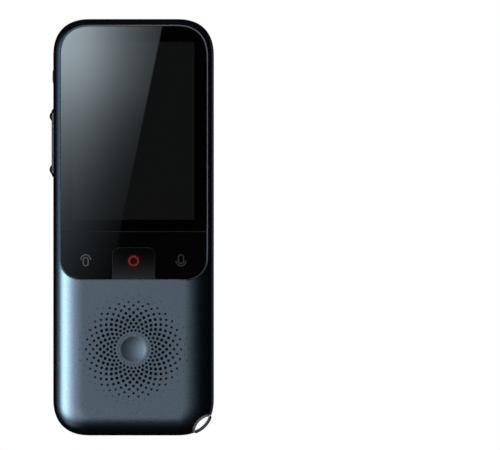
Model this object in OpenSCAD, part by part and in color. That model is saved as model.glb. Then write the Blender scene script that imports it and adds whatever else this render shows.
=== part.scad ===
// Handheld translator: a slim two-shell housing with a flat glass front, a rocking talk key,
// a record key, a drilled speaker grille, side keys, a rear camera bump and a lanyard corner.
// +X is right as seen from the front, -Y is the front, +Z is up; the origin is under the foot.

/* [Body] */
// Width of the housing across the front face
body_w = 52; // [51:0.5:54]
// Height of the housing from its foot to its top edge
body_h = 134.8; // [134:0.1:138]
// Thickness of the housing without the camera bump
body_t = 12.4; // [12.4:0.1:13]
// Corner radius of the outline
corner_r = 10.35; // [9.5:0.05:11]
// How far the rounding of the long sides reaches across the faces
side_round = 9.8; // [8.5:0.1:10]
// How far the rounding of the top and bottom reaches across the faces
end_round = 6.5; // [5.5:0.1:7]
// Half width of the straight band around the edge
band = 1.9; // [1.6:0.1:2.2]
// Fullness of the edge rounding, 2 is an ellipse
round_power = 2.3; // [2:0.05:2.6]
// Wall thickness of both shells
wall = 1.3; // [1.2:0.05:1.4]
// Distance of the parting plane behind the middle of the thickness
seam_y = 2.3; // [2.2:0.05:2.5]

/* [Front panel] */
// Half width of the front glass
glass_x = 23.7; // [23.5:0.05:23.8]
// Height of the lower edge of the key plate
panel_z0 = 50.5; // [50.3:0.05:51]
// Height of the seam between the key plate and the glass
panel_seam_z = 66; // [65.8:0.1:66.2]
// Height of the upper edge of the glass
panel_z1 = 132.9; // [132.5:0.05:133]
// Radius of the upper corners of the glass
glass_top_r = 8.6; // [8:0.1:9]
// Radius of the lower corners of the key plate
panel_low_r = 7.3; // [6.5:0.1:8]
// Thickness of the glass
glass_t = 1; // [0.8:0.05:1.1]
// Gap around the glass and between the keys
panel_gap = 0.15; // [0.1:0.01:0.2]
// Width of the lip around the glass
lip = 0.45; // [0.4:0.05:0.6]

/* [Keys] */
// Thickness of the key plate
key_t = 1.6; // [1.4:0.05:1.6]
// Half width of the record key
record_x = 7; // [6.5:0.1:7.5]
// Height of the record key's upper edge
record_z1 = 60.85; // [60:0.05:61]
// Middle of the ring on the record key
record_z = 56.4; // [56:0.1:57]
// Distance of the talk symbols from the middle
talk_x = 15.35; // [14:0.05:16]
// Middle of the volume rocker
rocker_z = 94.7; // [93:0.1:96]
// Length of the volume rocker
rocker_len = 22; // [20:0.5:24]
// Middle of the power key
power_z = 116.1; // [115:0.1:117]
// Length of the power key
power_len = 4.4; // [4:0.1:5]
// Width of the side keys across the edge
side_key_w = 2.8; // [2.6:0.1:3]

/* [Grille] */
// Middle of the speaker grille
grille_z = 27.9; // [27:0.1:29]
// Holes in each ring of the grille
ring_holes = 30; // [24:2:32]
// Radius of the first ring of holes
first_ring_r = 4.98; // [4.9:0.01:5.2]
// Distance from one ring of holes to the next
ring_step = 1.155; // [1.12:0.005:1.17]
// Diameter of the largest holes
hole_d = 0.9; // [0.7:0.05:1]
// Diameter of the holes at both edges of the pattern
edge_hole_d = 0.36; // [0.3:0.02:0.4]
// Radius of the dimple in the middle of the grille
dimple_r = 3.95; // [3.8:0.05:4.3]
// Depth of the dimple
dimple_depth = 0.25; // [0.2:0.05:0.5]

/* [Lanyard corner] */
// Radius of the notch in the lower right corner
notch_r = 6; // [5.8:0.05:6.5]
// Radius of the curved bar across the notch, at the middle of its thickness
bar_r = 8.1; // [7.9:0.05:8.3]
// Thickness of the curved bar
bar_t = 0.9; // [0.7:0.05:1]
// Width of the curved bar through the thickness of the housing
bar_w = 3.2; // [2.5:0.1:3.4]

/* [Camera bump] */
// Height of the middle of the camera bump
bump_z = 120.9; // [120:0.1:121.5]
// Distance from the middle of the bump to the middle of each round end
bump_x = 10.1; // [9.5:0.1:10.5]
// Radius of the round ends of the camera window
window_r = 5.4; // [5.2:0.05:5.5]
// How far the bump stands above the back
bump_t = 0.8; // [0.6:0.05:0.9]
// Distance of the camera from the middle
camera_x = 8.7; // [8.2:0.1:9]
// Outer radius of the camera ring
camera_r = 2.6; // [2.4:0.05:2.7]
// Distance of the flash from the middle
flash_x = 2.45; // [2.2:0.05:2.6]
// Width of the flash window
flash_w = 3.75; // [3.4:0.05:3.8]

/* [Hidden] */
$fn = 48;

// colours of the finishes
paint = "#515d69";
gloss_black = "#060708";
steel = "#8d9196";
copper_board = "#1d4a33";

// surfaces across the thickness
front_y = -body_t / 2;
back_y = body_t / 2;
inner_front_y = front_y + wall;
inner_back_y = back_y - wall;
bump_y = back_y + bump_t;
outside = 40;

// rounding of the housing; inside, the straight band reaches past the parting plane
curve_steps = 8;
inner_band = seam_y + 0.1;

// front panel: ledge behind the glass, key pocket and its floor
ledge_y = front_y + glass_t + 0.15;
tray_y = ledge_y + 1.15;
key_back_y = front_y + key_t;
key_floor_y = front_y + 2.6;
key_tray_y = key_floor_y + 0.9;
plate_z1 = panel_seam_z - panel_gap;
glass_z0 = panel_seam_z + panel_gap;
window_grow = 1.5;
seat_grow = 0.2;
active_x = 19.65;
active_z0 = 69.85;
active_z1 = 127.45;
display_edge = 1.35;
display_t = 1.8;
display_frame_t = 1;

// talk key hinge
hinge_y = front_y + 2.9;
pin_r = 0.48;
knuckle_z0 = 62.1;
knuckle_z1 = 64.9;
ear_t = 1;
ear_gap = 0.1;
nub_r = 1.2;
nub_y = key_tray_y + 0.15;
symbol_z = 56.6;

// record key and its ring
record_gap = 0.2;
record_corner = 2.4;
ring_out_r = 1.83;
ring_in_r = 1.15;
ring_t = 0.25;
record_wing = 1.1;

// boards and frame behind the keys
mid_y0 = -1.3;
mid_t = 0.8;
mid_y1 = mid_y0 + mid_t;
key_board_t = 0.4;
dome_t = 0.4;
dome_y = mid_y0 - key_board_t;
board_y0 = 0.2;
board_t = 0.8;
board_y1 = board_y0 + board_t;
mid_x = 21.5;
mid_z0 = 45;
mid_z1 = 132.2;
low_screw = [20.2, 66.8];
high_screw = [17, 130.6];
board_screw_x = 15;
board_screw_z = [93.5, 127];
screw_r = 0.65;
screw_head_r = 1.2;
screw_head_t = 0.5;
screw_hole_r = 0.7;
post_r = 1.6;
foot_post_x = 12;
foot_post_z = 9.5;

// side keys
side_x = -body_w / 2;
side_inner_x = side_x + wall;
key_gap = 0.15;
flange_x = side_inner_x + 0.4;
flange_t = 0.4;
side_board_x = -22.4;
side_board_t = 0.4;
switch_t = 0.45;
flange_back_x = flange_x + flange_t;
plunger_x = side_board_x - switch_t - 0.3;
rib_r = 0.5;
nub_rise = 1.2;
bridge_rise = 0.55;
key_width_gap = 0.15;
power_rise = 0.25;

// speaker
speaker_r = 16.6;
speaker_y0 = inner_front_y + 0.75;
speaker_y1 = speaker_y0 + 3;
magnet_r = 8;
magnet_t = 2.6;
grille_r = first_ring_r + 11.4 * ring_step;
grille_flange = 0.6;
grille_flange_t = 0.4;

// lanyard corner, measured from the foot at the lower right
notch_x = body_w / 2 - 0.4;
notch_z = 0.4;
bar_x = body_w / 2 - 8.85;
bar_z = 8.85;
bar_hold = 0.9;

// camera bump
trim_r = window_r + 0.35;
recess_r = trim_r + 0.02;
bump_top_r = trim_r + 0.3;
bump_base_r = trim_r + 1;
glass_seat_y = back_y;
window_y = bump_y - 0.05;

// socket at the foot
usb_w = 8.94;
usb_h = 3.26;
usb_skin = 0.3;
usb_z0 = 0.3;
usb_depth = 7.3;
usb_gap = 0.15;
mic_x = 9.5;
mic_hole_r = 0.5;

// ---------------------------------------------------------------- helpers

// A flat shape drawn across (X, Z), given a thickness from y0 to y1
module slab(y0, y1) {
    translate([0, y1, 0])
        rotate([90, 0, 0])
            linear_extrude(y1 - y0)
                children();
}

// A round rod along the thickness
module rod_y(x, z, r, y0, y1) {
    translate([x, y1, z])
        rotate([90, 0, 0])
            cylinder(h = y1 - y0, r = r);
}

// A box given by its two corners
module box(low, high) {
    translate(low)
        cube(high - low);
}

// A rectangle with its own radius at the two upper and the two lower corners
module plate_2d(x, z0, z1, low_r, top_r) {
    translate([-x, z0 + low_r])
        square([2 * x, z1 - z0 - low_r - top_r]);
    translate([-x + low_r, z0])
        square([2 * (x - low_r), low_r]);
    translate([-x + top_r, z1 - top_r])
        square([2 * (x - top_r), top_r]);
    for (side = [-1, 1]) {
        translate([side * (x - low_r), z0 + low_r])
            circle(r = low_r);
        translate([side * (x - top_r), z1 - top_r])
            circle(r = top_r);
    }
}

// A level slot shape with round ends, centred on the origin
module slot_2d(half, r) {
    translate([-half, -r])
        square([2 * half, 2 * r]);
    for (side = [-1, 1])
        translate([side * half, 0])
            circle(r = r);
}

// ---------------------------------------------------------------- housing form

// Quarter of the edge rounding, from the flat face out to the straight band
function edge_curve(reach, depth, low, drop) = [
    for (i = [0:curve_steps])
        let (a = 90 * i / curve_steps)
            [reach - depth + depth * pow(sin(a), 2 / round_power),
             low + drop * pow(cos(a), 2 / round_power)]
];

// Both edge roundings of one side, from the back face round to the front face
function edge_side(reach, depth, low, drop) =
    let (curve = edge_curve(reach, depth, low, drop))
        concat(curve, [for (i = [curve_steps:-1:0]) [curve[i][0], -curve[i][1]]]);

// Cross-section through the whole body, both sides rounded
function pillow_section(half, depth, low, drop) =
    let (side = edge_side(half, depth, low, drop))
        concat(side, [for (i = [len(side) - 1:-1:0]) [-side[i][0], side[i][1]]]);

// The body as a solid with soft edges, all surfaces moved in by inset
module pillow(inset, low) {
    half_w = body_w / 2 - inset;
    half_h = body_h / 2 - inset;
    r = corner_r - inset;
    drop = body_t / 2 - inset - low;
    ends = end_round - inset;
    translate([0, 0, body_h / 2])
        intersection() {
            linear_extrude(2 * half_h, center = true)
                polygon(pillow_section(half_w, side_round - inset, low, drop));
            rotate([90, 0, 0])
                pillow_ends(half_w, half_h, r, ends, low, drop);
        }
}

// Rounded outline with the same edge rounding all the way round, lying flat
module pillow_ends(half_w, half_h, r, ends, low, drop) {
    rotate([90, 0, 0])
        linear_extrude(2 * (half_h - r), center = true)
            polygon(pillow_section(half_w, ends, low, drop));
    rotate([90, 0, 90])
        linear_extrude(2 * (half_w - r), center = true)
            polygon(pillow_section(half_h, ends, low, drop));
    for (side = [-1, 1], end = [-1, 1])
        translate([side * (half_w - r), end * (half_h - r), 0])
            rotate_extrude($fn = 96)
                polygon(concat([[0, low + drop]], edge_side(r, ends, low, drop), [[0, -low - drop]]));
}

// Outline of the front panel, moved out by grow
module panel_2d(grow) {
    plate_2d(glass_x + grow, panel_z0 - grow, panel_z1 + grow, panel_low_r + grow, glass_top_r + grow);
}

// Part of the panel outline above or below a level
module panel_part_2d(grow, low_z, high_z) {
    intersection() {
        panel_2d(grow);
        translate([-outside, low_z])
            square([2 * outside, high_z - low_z]);
    }
}

// Window behind the glass through which the display shows
module display_window_2d() {
    plate_2d(active_x + window_grow, active_z0 - window_grow, active_z1 + window_grow, 0.6, 0.6);
}

// Everything on one side of the parting plane
module behind_seam() {
    box([-outside, seam_y, -10], [outside, outside, body_h + 10]);
}

module before_seam() {
    box([-outside, -outside, -10], [outside, seam_y, body_h + 10]);
}

// Solid corner round the notch, so the cavity stays closed
module notch_wall() {
    intersection() {
        pillow(0, band);
        rod_y(notch_x, notch_z, notch_r + wall, -outside, outside);
    }
}

module notch() {
    rod_y(notch_x, notch_z, notch_r, -outside, outside);
}

// The bar across the notch, with its ends let into the corner
module bar_shape() {
    intersection() {
        slab(-bar_w / 2, bar_w / 2)
            difference() {
                translate([bar_x, bar_z])
                    circle(r = bar_r + bar_t / 2, $fn = 96);
                translate([bar_x, bar_z])
                    circle(r = bar_r - bar_t / 2, $fn = 96);
            }
        rod_y(notch_x, notch_z, notch_r + bar_hold, -outside, outside);
    }
}

// ---------------------------------------------------------------- shells

// Level slot through the foot for the socket
module usb_slot(grow) {
    translate([0, 0, -1])
        linear_extrude(usb_z0 + usb_depth + 1)
            slot_2d((usb_w - usb_h) / 2, usb_h / 2 + grow);
}

// Two ears that hold the hinge pin of the talk key
module hinge_ears() {
    for (z = [knuckle_z0 - ear_gap - ear_t, knuckle_z1 + ear_gap])
        box([-1.5, key_back_y + 0.3, z], [1.5, key_tray_y, z + ear_t]);
}

// Posts that carry the screws, standing on the inside of the front, one on each side
module posts() {
    for (side = [-1, 1]) {
        rod_y(side * low_screw[0], low_screw[1], post_r, key_floor_y, mid_y0);
        rod_y(side * high_screw[0], high_screw[1], post_r, ledge_y, mid_y0);
        rod_y(side * foot_post_x, foot_post_z, post_r, inner_front_y - 0.1, usb_h / 2);
    }
}

// Blind hole for a screw, two millimetres deep from the seat at y
module screw_hole(x, z, y) {
    rod_y(x, z, screw_hole_r, y - 2, y + 1);
}

module front_cover() {
    color(paint)
        difference() {
            union() {
                front_skin();
                hinge_ears();
                posts();
            }
            for (side = [-1, 1]) {
                screw_hole(side * low_screw[0], low_screw[1], mid_y0);
                screw_hole(side * high_screw[0], high_screw[1], mid_y0);
                screw_hole(side * foot_post_x, foot_post_z, usb_h / 2);
            }
            hinge_pin(0.02);
            bar_shape();
            notch();
        }
}

// Pin of the talk key's hinge, made thicker by grow
module hinge_pin(grow) {
    z0 = knuckle_z0 - ear_gap - ear_t;
    translate([0, hinge_y, z0])
        cylinder(h = knuckle_z1 + ear_gap + ear_t - z0, r = pin_r + grow);
}

module front_skin() {
    difference() {
        union() {
            difference() {
                union() {
                    pillow(0, band);
                    slab(front_y, -band)
                        panel_2d(lip);
                }
                pillow(wall, inner_band);
            }
            notch_wall();
            slab(front_y, tray_y)
                panel_part_2d(seat_grow, panel_seam_z, body_h);
            slab(front_y, key_tray_y)
                panel_part_2d(seat_grow, 0, panel_seam_z + 2.4);
        }
        behind_seam();
        // seat of the glass and the key pocket
        slab(front_y - 1, ledge_y)
            panel_2d(panel_gap);
        slab(front_y - 1, key_floor_y)
            panel_part_2d(panel_gap, 0, panel_seam_z);
        // window for the display
        slab(ledge_y - 1, tray_y + 1)
            display_window_2d();
        // ways through the pocket floor
        for (side = [-1, 1])
            rod_y(side * talk_x, symbol_z, nub_r + 0.3, key_floor_y - 1, key_tray_y + 1);
        rod_y(0, record_z, nub_r + 0.6, key_floor_y - 1, key_tray_y + 1);
        box([-1.6, key_floor_y - 1, knuckle_z0 - ear_gap], [1.6, key_tray_y + 1, knuckle_z1 + ear_gap]);
        // opening for the grille
        rod_y(0, grille_z, grille_r + 0.02, front_y - 1, inner_front_y + 1);
        // socket, microphone and side keys
        usb_slot(usb_gap);
        translate([mic_x, 0, -1])
            cylinder(h = wall + 2, r = mic_hole_r);
        side_slot(rocker_z, rocker_len);
        side_slot(power_z, power_len);
    }
}

// Opening in the left edge for a side key
module side_slot(z, length) {
    half = side_key_w / 2 + key_gap;
    box([side_x - 1, -half, z - length / 2 - key_gap], [side_inner_x + 1, half, z + length / 2 + key_gap]);
}

module rear_cover() {
    color(paint)
        difference() {
            union() {
                difference() {
                    pillow(0, band);
                    pillow(wall, inner_band);
                    before_seam();
                }
                intersection() {
                    notch_wall();
                    behind_seam();
                }
                bump_form();
                rear_lip();
            }
            // seat of the window, and ways through for the camera and the flash
            slab(glass_seat_y, outside)
                translate([0, bump_z])
                    slot_2d(bump_x, recess_r);
            rod_y(camera_x, bump_z, camera_r - 0.3, inner_back_y - 1, outside);
            slab(inner_back_y - 1, outside)
                translate([flash_x, bump_z])
                    square(flash_w - 0.6, center = true);
            notch();
        }
}

// Raised pill with sloping flanks round the camera window
module bump_form() {
    flank = [[0, back_y - 0.6], [bump_base_r, back_y - 0.6], [bump_base_r, back_y],
             [bump_base_r - 0.35, back_y + 0.35 * bump_t], [bump_top_r + 0.08, bump_y - 0.12],
             [bump_top_r - 0.05, bump_y], [0, bump_y]];
    mirrored = [for (i = [len(flank) - 2:-1:1]) [-flank[i][0], flank[i][1]]];
    translate([0, 0, bump_z])
        rotate([-90, 0, 0]) {
            rotate([90, 0, 90])
                linear_extrude(2 * bump_x, center = true)
                    polygon(concat([for (p = flank) if (p[0] > 0) p], mirrored));
            for (side = [-1, 1])
                translate([side * bump_x, 0, 0])
                    rotate_extrude($fn = 96)
                        polygon(flank);
        }
}

// Tongue of the rear shell that locates it inside the front shell
module rear_lip() {
    lip_t = 0.6;
    gap = 0.1;
    inset = wall + gap;
    difference() {
        slab(seam_y - 0.8, seam_y + 0.6)
            lip_2d(inset - 0.4);
        slab(seam_y - 2, seam_y + 2)
            lip_2d(inset + lip_t);
        // only the part inside the front shell is thin
        difference() {
            slab(seam_y - 2, seam_y)
                lip_2d(-1);
            slab(seam_y - 3, seam_y + 1)
                lip_2d(inset);
        }
        box([-outside, -outside, rocker_z - rocker_len], [side_x + 5, outside, power_z + 2 * power_len]);
        box([-6, -outside, -1], [6, outside, 6]);
        rod_y(notch_x, notch_z, notch_r + wall + gap, -outside, outside);
    }
}

// Outline of the body moved in by inset, as a plain rounded rectangle
module lip_2d(inset) {
    plate_2d(body_w / 2 - inset, inset, body_h - inset, corner_r - inset, corner_r - inset);
}

// Diameter of the grille holes along the rings: small at both edges, largest a third of the way out
function ring_hole_d(i) =
    (i == 0 || i > 9) ? edge_hole_d : hole_d - (hole_d - 0.52) * pow(abs(i - 4.4) / 4.9, 1.6);

// Drilled disc with a shallow dimple, held from behind by its flange
module speaker_grille() {
    back = inner_front_y;
    dimple_sphere = (pow(dimple_r, 2) + pow(dimple_depth, 2)) / (2 * dimple_depth);
    color(paint)
        difference() {
            union() {
                slab(front_y, back)
                    translate([0, grille_z])
                        difference() {
                            circle(r = grille_r, $fn = 96);
                            grille_holes_2d();
                        }
                intersection() {
                    slab(back - 0.2, back + grille_flange_t)
                        translate([0, grille_z])
                            difference() {
                                circle(r = grille_r + grille_flange, $fn = 96);
                                circle(r = grille_r - 0.15, $fn = 96);
                            }
                    union() {
                        pillow(wall, inner_band);
                        rod_y(0, grille_z, grille_r, front_y, back);
                    }
                }
            }
            translate([0, front_y + dimple_depth - dimple_sphere, grille_z])
                sphere(r = dimple_sphere, $fn = 96);
        }
}

// Rings of holes, every second ring turned by half a step
module grille_holes_2d() {
    for (i = [0:11], n = [0:ring_holes - 1])
        rotate((n + (i % 2 == 0 ? 0.5 : 0)) * 360 / ring_holes)
            translate([first_ring_r + i * ring_step, 0])
                circle(d = ring_hole_d(i), $fn = 24);
}

// ---------------------------------------------------------------- glass and display

module touch_glass() {
    color(gloss_black)
        slab(front_y, front_y + glass_t)
            panel_part_2d(0, glass_z0, body_h);
}

module glass_tape() {
    color("#202224")
        slab(front_y + glass_t, ledge_y)
            difference() {
                panel_part_2d(-0.3, glass_z0 + 0.3, body_h);
                display_window_2d();
            }
}

module display_panel() {
    color("#0d0e0f")
        slab(front_y + glass_t, front_y + glass_t + display_t)
            plate_2d(active_x + display_edge, active_z0 - display_edge, active_z1 + display_edge, 0.5, 0.5);
}

module display_frame() {
    y0 = front_y + glass_t + display_t;
    color(steel)
        difference() {
            slab(y0, y0 + display_frame_t)
                plate_2d(active_x + display_edge, active_z0 - display_edge, active_z1 + display_edge, 1, 1);
            for (row = [0:2])
                slab(y0 + 0.6, y0 + 2)
                    plate_2d(active_x - 3, active_z0 + 2 + 19 * row, active_z0 + 17 + 19 * row, 2, 2);
        }
}

// Flat ribbon from the back of the display, through the frame, to the board
module display_flex() {
    y0 = front_y + glass_t + display_t + display_frame_t;
    ribbon = 0.2;
    way_z = 89.7;
    color("#7a4a1a")
        translate([-6, 0, 0])
            rotate([90, 0, 90])
                linear_extrude(12)
                    polygon([[y0, 74], [y0 + ribbon, 74], [y0 + ribbon, way_z], [board_y0, way_z],
                             [board_y0, 98], [board_y0 - ribbon, 98], [board_y0 - ribbon, way_z + ribbon],
                             [y0, way_z + ribbon]]);
}

// ---------------------------------------------------------------- front keys

// Shape of the record key moved out by grow
module record_2d(grow) {
    intersection() {
        plate_2d(record_x + grow, panel_z0 - 10, record_z1 + grow, 1, record_corner + grow);
        translate([-outside, panel_z0 - grow])
            square([2 * outside, body_h]);
    }
}

module talk_key() {
    color(gloss_black)
        difference() {
            union() {
                slab(front_y, key_back_y)
                    difference() {
                        panel_part_2d(0, 0, plate_z1);
                        record_2d(record_gap);
                    }
                // knuckle on the hinge pin
                box([-1, key_back_y - 0.2, knuckle_z0], [1, hinge_y, knuckle_z1]);
                translate([0, hinge_y, knuckle_z0])
                    cylinder(h = knuckle_z1 - knuckle_z0, r = 1);
                // nubs that press the domes
                for (side = [-1, 1])
                    rod_y(side * talk_x, symbol_z, nub_r, key_back_y - 0.2, nub_y);
            }
            translate([0, hinge_y, knuckle_z0 - 1])
                cylinder(h = knuckle_z1 - knuckle_z0 + 2, r = pin_r + 0.05);
        }
}

module talk_key_pin() {
    color(steel)
        hinge_pin(0);
}

module record_key() {
    wing_y = key_back_y + 0.35;
    color(gloss_black)
        difference() {
            union() {
                slab(front_y, key_back_y)
                    record_2d(0);
                box([-record_x, key_back_y - 0.2, 52], [record_x, wing_y + 0.25, 59]);
                box([-record_x - record_wing, wing_y, 53], [record_x + record_wing, wing_y + 0.25, 58]);
                rod_y(0, record_z, nub_r, key_back_y, nub_y);
            }
            slab(front_y - 1, front_y + ring_t)
                ring_2d();
        }
}

module ring_2d() {
    translate([0, record_z])
        difference() {
            circle(r = ring_out_r);
            circle(r = ring_in_r);
        }
}

module record_ring() {
    color("#d8202a")
        slab(front_y, front_y + ring_t)
            ring_2d();
}

module key_board() {
    color(copper_board)
        slab(mid_y0 - key_board_t, mid_y0)
            plate_2d(19.5, 51.5, 62, 1, 1);
}

module key_domes() {
    color("#c9a24a")
        for (x = [-talk_x, 0, talk_x])
            rod_y(x, x == 0 ? record_z : symbol_z, 2, dome_y - dome_t, dome_y);
}

// ---------------------------------------------------------------- side keys

// Rocker with a raised nub near each end
module volume_rocker() {
    half = rocker_len / 2;
    rise = [[half, 0], [half - 0.5, -0.6], [half - 1.2, -1.02], [half - 1.9, -nub_rise * 0.97],
            [half - 2.4, -nub_rise], [half - 2.9, -nub_rise * 0.97], [half - 3.6, -0.98],
            [half - 4.6, -bridge_rise - 0.06], [half - 5.4, -bridge_rise], [0, -bridge_rise]];
    outline = concat([[half, 1.2], [half, 0]], [for (i = [1:len(rise) - 1]) rise[i]],
                     [for (i = [len(rise) - 2:-1:1]) [-rise[i][0], rise[i][1]]], [[-half, 0], [-half, 1.2]]);
    color("#20262d")
        translate([side_x, 0, rocker_z]) {
            rotate([90, -90, 0])
                linear_extrude(side_key_w, center = true)
                    polygon([for (p = outline) [p[0], -p[1]]]);
            side_key_back(half, 1.1);
            for (end = [-1, 1])
                plunger(end * (half - 2.5));
        }
}

// Part of a side key inside the housing: a tongue through the wall and a flange that keeps it in
module side_key_back(half, depth) {
    y = side_key_w / 2;
    box([depth, -y, -half], [flange_x - side_x, y, half]);
    box([flange_x - side_x, -y, -half - 0.5], [flange_back_x - side_x, y, half + 0.5]);
}

// Nub on the back of a side key, in front of its switch
module plunger(z) {
    translate([flange_x - side_x, 0, z])
        rotate([0, 90, 0])
            cylinder(h = plunger_x - flange_x, r = 0.8);
}

module power_key() {
    half = power_len / 2;
    color("#20262d")
        translate([side_x, 0, power_z]) {
            box([-power_rise, -side_key_w / 2 + key_width_gap, -half + key_width_gap],
                [0.2, side_key_w / 2 - key_width_gap, half - key_width_gap]);
            side_key_back(half, 0);
            plunger(0);
        }
}

// Strip of board behind the side keys on an angled steel foot, with the rib the rocker tips on
module side_key_board() {
    z0 = rocker_z - rocker_len / 2;
    z1 = power_z + power_len / 2 + 1;
    color(steel) {
        rod_y(flange_back_x + rib_r, rocker_z, rib_r, -1.2, 1.2);
        box([flange_back_x + rib_r, -1.2, rocker_z - rib_r], [side_board_x, 1.2, rocker_z + rib_r]);
        box([side_board_x, -1.7, z0], [side_board_x + side_board_t, 1.7, z1]);
        box([side_board_x + 0.1, mid_y1, z0], [side_board_x + 2.2, mid_y1 + 0.4, z1]);
    }
}

module side_switches() {
    half = rocker_len / 2 - 2.5;
    color("#c9a24a")
        for (z = [rocker_z - half, rocker_z + half, power_z])
            translate([side_board_x - switch_t, 0, z])
                rotate([0, 90, 0])
                    cylinder(h = switch_t, r = 1.3);
}

module lanyard_bar() {
    color("#4a4f55")
        bar_shape();
}

// ---------------------------------------------------------------- camera

module camera_trim() {
    color("#9aa2aa")
        slab(glass_seat_y, bump_y)
            translate([0, bump_z])
                difference() {
                    slot_2d(bump_x, trim_r);
                    slot_2d(bump_x, window_r + 0.02);
                }
}

module camera_window() {
    color(gloss_black)
        slab(glass_seat_y, window_y)
            difference() {
                translate([0, bump_z])
                    slot_2d(bump_x, window_r);
                translate([camera_x, bump_z])
                    circle(r = camera_r + 0.02);
                translate([flash_x, bump_z])
                    flash_2d(0.02);
            }
}

module flash_2d(grow) {
    r = 1;
    half = flash_w / 2 + grow;
    plate_2d(half, -half, half, r, r);
}

module camera_ring() {
    color("#9aa2aa")
        slab(glass_seat_y, bump_y + 0.05)
            translate([camera_x, bump_z])
                difference() {
                    circle(r = camera_r);
                    circle(r = camera_r - 0.35);
                }
}

// Domed front element of the camera
module camera_lens() {
    r = camera_r - 0.37;
    rim = 0.2;
    rise = 0.35;
    dome = [for (i = [0:6]) let (a = 15 * i) [r * cos(a), rim + rise * sin(a)]];
    color("#1b2740")
        translate([camera_x, glass_seat_y, bump_z])
            rotate([-90, 0, 0])
                rotate_extrude($fn = 96)
                    polygon(concat([[0, 0], [r, 0]], dome));
}

module camera_module() {
    color("#2a2c30") {
        box([camera_x - 4.2, board_y1, bump_z - 4.2], [camera_x + 4.2, board_y1 + 2.8, bump_z + 4.2]);
        rod_y(camera_x, bump_z, 3.4, board_y1 + 2.8, inner_back_y - 0.1);
        rod_y(camera_x, bump_z, camera_r - 0.45, inner_back_y - 0.1, glass_seat_y);
    }
}

module flash_diffuser() {
    color("#e8e4c0")
        slab(glass_seat_y, window_y)
            translate([flash_x, bump_z])
                flash_2d(0);
}

// Light chip on a small post that stands on the board
module flash_led() {
    x = flash_x - 0.25;
    color("#f0e060") {
        box([x - 1.9, board_y1, bump_z - 1.9], [x + 1.9, inner_back_y - 0.2, bump_z + 1.9]);
        box([x - 1.2, inner_back_y - 0.2, bump_z - 1.2], [x + 1.2, inner_back_y + 0.6, bump_z + 1.2]);
    }
}

// ---------------------------------------------------------------- inside

module mid_frame() {
    color("#8a8d90")
        difference() {
            union() {
                slab(mid_y0, mid_y1)
                    plate_2d(mid_x, mid_z0, mid_z1, 3, 7.5);
                for (x = [-board_screw_x, board_screw_x], z = board_screw_z)
                    rod_y(x, z, post_r, mid_y1 - 0.2, board_y0);
            }
            for (side = [-1, 1], place = [low_screw, high_screw])
                rod_y(side * place[0], place[1], screw_hole_r, mid_y0 - 1, mid_y1 + 1);
            for (x = [-board_screw_x, board_screw_x], z = board_screw_z)
                rod_y(x, z, screw_hole_r, mid_y0 - 1, board_y0 + 1);
            // way through for the display ribbon, and lightening windows
            slab(mid_y0 - 1, mid_y1 + 1)
                plate_2d(6.6, 89.2, 91, 0.3, 0.3);
            slab(mid_y0 - 1, mid_y1 + 1)
                plate_2d(10, 99, 121, 2, 2);
        }
}

module main_board() {
    color(copper_board)
        difference() {
            slab(board_y0, board_y1)
                translate([0.9, 0])
                    plate_2d(20.1, 90.6, 130, 1.5, 6);
            for (x = [-board_screw_x, board_screw_x], z = board_screw_z)
                rod_y(x, z, screw_hole_r, board_y0 - 1, board_y1 + 1);
            for (side = [-1, 1])
                rod_y(side * high_screw[0], high_screw[1], screw_head_r + 0.4, board_y0 - 1, board_y1 + 1);
        }
}

module shield_can() {
    color(steel)
        difference() {
            slab(board_y1, board_y1 + 1.6)
                translate([-1.5, 0])
                    plate_2d(11, 96, 114.5, 1, 1);
            slab(board_y1 - 1, board_y1 + 1.4)
                translate([-1.5, 0])
                    plate_2d(10.8, 96.2, 114.3, 0.8, 0.8);
        }
}

module battery() {
    color("#c9ccd0")
        slab(mid_y1 + 0.15, inner_back_y - 0.6)
            plate_2d(19, 47.5, 88, 1.5, 1.5);
}

module battery_tape() {
    color("#3c3f42")
        slab(mid_y1, mid_y1 + 0.15)
            plate_2d(17, 49, 86, 0.5, 0.5);
}

module speaker_gasket() {
    color("#17181a")
        slab(inner_front_y, speaker_y0)
            translate([0, grille_z])
                difference() {
                    circle(r = speaker_r, $fn = 96);
                    circle(r = speaker_r - 1.6, $fn = 96);
                }
}

// Cloth disc that keeps dust out, pressed on the back of the grille
module dust_mesh() {
    color("#0c0d0e")
        rod_y(0, grille_z, speaker_r - 1.8, inner_front_y, inner_front_y + 0.15);
}

module speaker_frame() {
    color("#2a2c30")
        difference() {
            translate([0, speaker_y1, grille_z])
                rotate([90, 0, 0])
                    rotate_extrude($fn = 96)
                        polygon([[magnet_r - 3, 0], [magnet_r + 1, 0], [speaker_r - 1, 1.4], [speaker_r, 1.4],
                                 [speaker_r, 3], [speaker_r - 1.2, 3], [speaker_r - 1.2, 2.2], [magnet_r + 1, 0.8],
                                 [magnet_r - 3, 0.8]]);
            for (n = [0:7])
                translate([0, 0, grille_z])
                    rotate([0, 45 * n + 22.5, 0])
                        rod_y(12.3, 0, 1.8, speaker_y1 - 3, speaker_y1 + 1);
        }
}

// Paper cone with its rolled edge, seated on the step of the speaker frame
module speaker_cone() {
    color("#1c1d1f")
        translate([0, speaker_y1, grille_z])
            rotate([90, 0, 0])
                rotate_extrude($fn = 96)
                    polygon([[0, 1.3], [4.6, 1.3], [12, 2.3], [13.2, 2.8], [14.4, 2.3], [speaker_r - 1.3, 2.3],
                             [speaker_r - 1.3, 2.5], [14.5, 2.5], [13.2, 3], [11.9, 2.5], [4.5, 1.5], [0, 1.5]]);
}

module speaker_magnet() {
    color(steel) {
        rod_y(0, grille_z, magnet_r, speaker_y1, speaker_y1 + magnet_t);
        rod_y(0, grille_z, magnet_r - 3.4, speaker_y1 - 1, speaker_y1 + 0.1);
    }
}

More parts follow.
